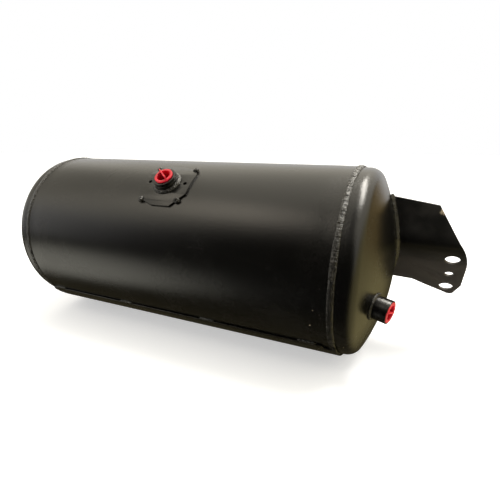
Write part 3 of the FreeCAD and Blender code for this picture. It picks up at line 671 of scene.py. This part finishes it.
def add_grip(name, place, turn, seat, lip, flange, rise):
    """The plug's grip bar: a flat bar with a rounded upper edge, drawn as a stack of level
    outlines whose length and thickness shrink near the top as a quarter circle:
    inset = edge * (1 - cos q) at the height edge * sin q."""
    thick, edge, point = 0.0011, 0.0008, (0.00002, 0.00001)
    half_in, half_out = PLUG_CUP_R - 0.0002, BORE_R + lip - 0.0015
    rim, top, floor = seat + flange, seat + flange + rise, seat - PLUG_DEPTH + 0.0015
    rows = [level_outline(floor, *point), level_outline(floor, half_in, thick),
            level_outline(rim - 0.0004, half_in, thick),
            level_outline(rim - 0.0003, half_out, thick),
            level_outline(top - edge, half_out, thick)]
    for q in np.radians(np.linspace(15, 90, 6)):
        inset = edge * (1 - math.cos(q))
        rows.append(level_outline(top - edge + edge * math.sin(q), half_out - inset, thick - inset))
    rows.append(level_outline(top, *point))
    local = np.concatenate(rows)
    c, s = math.cos(turn), math.sin(turn)
    local = np.stack([local[:, 0] * c - local[:, 1] * s, local[:, 0] * s + local[:, 1] * c,
                      local[:, 2]], axis=1)
    mesh = merged(place(local), grid_faces(len(rows), GRIP_STEPS, False, True))
    dress(name, mesh, RED)
    sharpen(mesh, 40)


def add_port():
    """Boss, fillet bead, plate, four tack welds and the plug of the port on the shell. The bead's
    root lies on the plate: its level is sqrt(plate radius^2 - (middle radius * sin t)^2)."""
    eased("port_plate", COAT, 0.0006)
    add_turned("port_boss_turned", boss_profile(), at_port, COAT, "port_boss", 160, 60)
    leg = 0.0042
    t = np.linspace(0, 2 * math.pi, RING_STEPS, endpoint=False)[:, None]
    saddle = np.sqrt(PLATE_R ** 2 - ((PORT_BOSS_R + leg / 2) * np.sin(t)) ** 2)
    path, across, up = round_path(PORT_BOSS_R, saddle, at_port, (0, leg), (leg, 0), RING_STEPS)
    bead("port_boss_bead", path, across, up, width=leg * 1.414, crown=0.0011, sink=leg * 0.6,
         pitch=0.0030, seed=40, node="port_boss_weld", closed=True)
    add_turned("port_plug_cup", plug_profile(PORT_TOP, PORT_LIP, PORT_FLANGE), at_port, RED,
               "port_plug", 128, 50)
    add_grip("port_plug_grip", at_port, math.radians(-40), PORT_TOP, PORT_LIP, PORT_FLANGE,
             PORT_GRIP)
    tacks = sorted(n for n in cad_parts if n.startswith("plate_tack"))
    for i, node in enumerate(tacks):
        add_tack(node, 50 + i)


def add_tack(node, seed):
    """A tack weld as a lump: a sphere whose radius is scaled by nine low waves,
    r = r0 (1 + sum of 0.055 cos(wave . normal + phase)), so that it looks run and lumpy."""
    rng = np.random.default_rng(seed)
    low, high = (np.array(c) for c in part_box(node))
    middle, size = (low + high) / 2, (high - low) / 2
    rings, spokes = 28, 44
    u = np.linspace(0, math.pi, rings)[:, None]
    v = np.linspace(0, 2 * math.pi, spokes, endpoint=False)[None, :]
    normal = np.stack([np.sin(u) * np.cos(v), np.sin(u) * np.sin(v),
                       np.repeat(np.cos(u), spokes, axis=1)], axis=-1)
    scale = np.ones((rings, spokes))
    for _ in range(9):
        wave = rng.normal(0, 2.6, 3)
        scale += 0.055 * np.cos(normal @ wave + rng.uniform(0, 6.3))
    points = middle + normal * (scale * float(size.max()) * 0.93)[..., None]
    mesh = merged(points.reshape(-1, 3), grid_faces(rings, spokes, False, True))
    dress(node + "_lump", mesh, WELD, node)


add_port()


# ---------------------------------------------------------------- port on the right head
def add_end_port():
    """The end boss with its recess, its fillet bead on the crown and its plug."""
    recess = END_BOSS_R - END_RIM
    corners = [
        (-BOSS_DEPTH, BORE_R), (-BOSS_DEPTH, END_BOSS_R), (END_TOP, END_BOSS_R), (END_TOP, recess),
        (END_SEAT, recess), (END_SEAT, BORE_R), (-BOSS_DEPTH, BORE_R),
    ]
    add_turned("end_boss_turned", rounded(corners, 0.0007), at_end_port, COAT, "end_boss", 128, 60)
    leg = 0.0032
    drop = math.sqrt(CROWN_R ** 2 - (END_BOSS_R + leg) ** 2) - CROWN_R
    toe_in, toe_out = (drop, leg), (leg - 0.0008, 0)
    path, across, up = round_path(END_BOSS_R, 0.0, at_end_port, toe_in, toe_out, RING_STEPS)
    bead("end_boss_bead", path, across, up, width=math.hypot(leg, leg - drop), crown=0.0012,
         sink=leg * 0.6, pitch=0.0032, seed=60, node="end_boss_weld", closed=True)
    add_turned("end_plug_cup", plug_profile(END_SEAT, END_LIP, END_FLANGE), at_end_port, RED,
               "end_plug", 128, 50)
    add_grip("end_plug_grip", at_end_port, math.radians(40), END_SEAT, END_LIP, END_FLANGE,
             END_GRIP)


add_end_port()


# ---------------------------------------------------------------- end bracket
def bracket_line(offset, count):
    """The bracket's section line at an offset behind its front face, as (y, z) points and the
    normals that look to the front: a straight web, an arc of the bend's radius, and a straight
    apron leaning back by the fold."""
    bend, level = BEND_R - offset, BEND_LEVEL + offset * math.tan(FOLD / 2)
    setback = bend * math.tan(FOLD / 2)
    web_end = level + setback
    web = BRACKET_ROOT_TOP - web_end
    apron = (level - BRACKET_ROOT_BOTTOM) / math.cos(FOLD) - setback
    s = np.linspace(0, sum([web, bend * FOLD, apron]), count)
    turn = np.clip((s - web) / bend, 0, FOLD)
    past = np.clip(s - web - bend * FOLD, 0, None)
    before = np.clip(web - s, 0, None)
    y = BRACKET_FACE + offset + bend - bend * np.cos(turn) + past * math.sin(FOLD)
    z = web_end - bend * np.sin(turn) + before - past * math.cos(FOLD)
    return y, z, np.stack([-np.cos(turn), -np.sin(turn)], axis=1)


def unit(rows):
    """Each row of an array made one long."""
    return rows / np.linalg.norm(rows, axis=1, keepdims=True)


def beside(rows, normals):
    """Each row with its share along a normal taken away, made one long."""
    return unit(rows - normals * np.sum(rows * normals, axis=1, keepdims=True))


def add_bracket_weld(name, offset, facing, node, seed):
    """The fillet bead along the bracket's root: the line where the plate's face meets the crown,
    x = crown centre + sqrt(crown radius^2 - y^2 - z^2), with one toe on the plate and one on the
    crown."""
    leg = 0.006
    y, z, look = bracket_line(offset, RING_STEPS)
    x = HALF + CROWN_C + np.sqrt(CROWN_R ** 2 - y ** 2 - z ** 2)
    root = np.stack([x, y, z + AXIS_Z], axis=1)
    crown_out = (root - CROWN_CENTRE) / CROWN_R
    plate_out = facing * np.concatenate([np.zeros((RING_STEPS, 1)), look], axis=1)
    in_plate = beside(crown_out, plate_out)
    on_crown = beside(plate_out, crown_out)
    toe_plate, toe_crown = root + in_plate * leg, root + on_crown * leg
    chord = toe_crown - toe_plate
    width = float(np.linalg.norm(chord, axis=1).mean())
    bead(name, (toe_plate + toe_crown) / 2, unit(chord), unit(in_plate + on_crown), width=width,
         crown=0.0008, sink=leg * 0.6, pitch=0.0034, seed=seed, node=node)


eased("end_bracket", PLATE_COAT, 0.0006)
add_bracket_weld("bracket_bead_front", 0.0, 1.0, "bracket_weld_front", 70)
add_bracket_weld("bracket_bead_back", BRACKET_WALL, -1.0, "bracket_weld_back", 71)


# ---------------------------------------------------------------- floor, light and camera
def add_stage(name, mesh, look):
    """Links a piece of the studio, which isn't part of the tank and isn't seen in reflections."""
    piece = bpy.data.objects.new(name, mesh)
    bpy.context.scene.collection.objects.link(piece)
    mesh.materials.append(look)
    piece.visible_glossy = False
    return piece


def add_floor():
    """A wide pale floor with a very faint cloud in its tone."""
    looks = Looks(bpy.data.materials.new("pale_floor"))
    base = looks.mix(looks.noise(0.8, 2, 0.5), (0.8, 0.824, 0.88, 1), (0.792, 0.816, 0.872, 1))
    pale = looks.finish(base_color=base, roughness=0.9, specular_ior_level=0.1,
                        emission_color=(1.0, 1.0, 1.0, 1), emission_strength=0.5)
    reach = 9.0
    mesh = bpy.data.meshes.new("studio_floor")
    mesh.from_pydata([(-reach, -reach, 0), (reach, -reach, 0), (reach, reach, 0),
                      (-reach, reach, 0)], [], [(0, 1, 2, 3)])
    add_stage("studio_floor", mesh, pale)


def add_backdrop():
    """A pale dome round the studio that only the camera sees: a half circle turned round +Z."""
    profile = arc((0.0, 0.0), 14.0, 0, 180, 33)
    profile[[0, -1], 1] = 0.0
    looks = Looks(bpy.data.materials.new("pale_backdrop"))
    pale = looks.finish(base_color=(0.0, 0.0, 0.0, 1), specular_ior_level=0.0,
                        emission_color=(1.0, 1.0, 1.0, 1), emission_strength=1.0)
    dome = add_stage("studio_backdrop", merged(*turned(profile, np.array, 48)), pale)
    dome.visible_diffuse = False
    dome.visible_shadow = False


def add_light(name, place, aim, size, power, colour):
    """A rectangular soft light at a place, turned to face its aim."""
    data = bpy.data.lights.new(name, "AREA")
    data.shape = "RECTANGLE"
    data.size, data.size_y = size
    data.energy = power
    data.color = colour
    lamp = bpy.data.objects.new(name, data)
    bpy.context.scene.collection.objects.link(lamp)
    out = np.array(place, float) - np.array(aim, float)
    out = out / np.linalg.norm(out)
    side = np.cross([0.0, 0.0, 1.0], out)
    side = side / np.linalg.norm(side)
    turn = np.stack([side, np.cross(out, side), out], axis=1)
    rows = [[*row, end] for row, end in zip(turn, place)]
    lamp.matrix_world = Matrix(rows + [[0, 0, 0, 1]])


def heading(azimuth, elevation):
    """The unit vector towards an azimuth, turned from -Y to +X, and an elevation, in degrees."""
    a, e = math.radians(azimuth), math.radians(elevation)
    return (math.sin(a) * math.cos(e), -math.cos(a) * math.cos(e), math.sin(e))


PATCHES = (
    # azimuth, elevation, angle of the full patch, angle where it ends, colour
    (5, -5, 44, 66, (0.0, 0.0, 0.0, 1)),           # the unlit side of the room, before the ports
    (5, 60, 10, 30, (0.35, 0.33, 0.30, 1)),        # its ceiling
    (105, -18, 20, 58, (0.95, 0.80, 0.36, 1)),     # warm ground past the right end
    (-57, -27, 7, 22, (1.65, 1.60, 1.38, 1)),      # lit ground past the left end
    (-95, 34, 8, 28, (0.75, 0.70, 0.58, 1)),       # its dim wall
    (138, 6, 10, 24, (0.55, 0.38, 0.14, 1)),       # brown wall behind the right end
    (-47, 52, 4, 15, (3.3, 3.0, 2.5, 1)),          # small ceiling panel
)


def add_surroundings():
    """The studio as the tank reflects it: a bright sky over dim ground, and round patches that
    are full within one angle of their middle and fade out at another."""
    looks = Looks(bpy.data.worlds.new("studio"), "Generated")
    level = looks.band(looks.axis("Z"), -0.12, 0.02)
    high = looks.band(looks.axis("Z"), 0.25, 0.6)
    colour = looks.mix(level, (0.064, 0.054, 0.030, 1), (1.05, 1.03, 1.0, 1))
    colour = looks.mix(high, colour, (1.55, 1.45, 1.22, 1))
    for azimuth, elevation, full, end, tone in PATCHES:
        facing = looks.node("ShaderNodeVectorMath", {"operation": "DOT_PRODUCT"}, {
            0: looks.place, 1: heading(azimuth, elevation)}, out="Value")
        share = looks.band(facing, math.cos(math.radians(end)), math.cos(math.radians(full)))
        colour = looks.mix(share, colour, tone)
    back = looks.node("ShaderNodeBackground", {}, {"Color": colour, "Strength": 1.0})
    looks.node("ShaderNodeOutputWorld", {}, {"Surface": back}, out=None)
    bpy.context.scene.world = looks.owner


def add_camera():
    """The viewer stands to the right of the tank's middle and a little above it."""
    data = bpy.data.cameras.new("camera")
    data.sensor_width = 36
    data.lens = 27.33
    data.shift_x = -0.003
    data.shift_y = 0.0374
    data.clip_start = 0.01
    data.clip_end = 60
    camera = bpy.data.objects.new("camera", data)
    bpy.context.scene.collection.objects.link(camera)
    camera.location = (0.3951, -0.6130, AXIS_Z + 0.1921)
    camera.rotation_euler = (math.radians(90 - 18.91), 0, math.radians(25.03))
    bpy.context.scene.camera = camera


add_floor()
add_backdrop()
add_surroundings()
add_light("key_softbox", (0.76, 0.59, 2.14), (0, 0, AXIS_Z), (1.45, 0.62), 52,
          (1.0, 0.96, 0.88))
add_camera()
bpy.context.scene.view_settings.view_transform = "Standard"
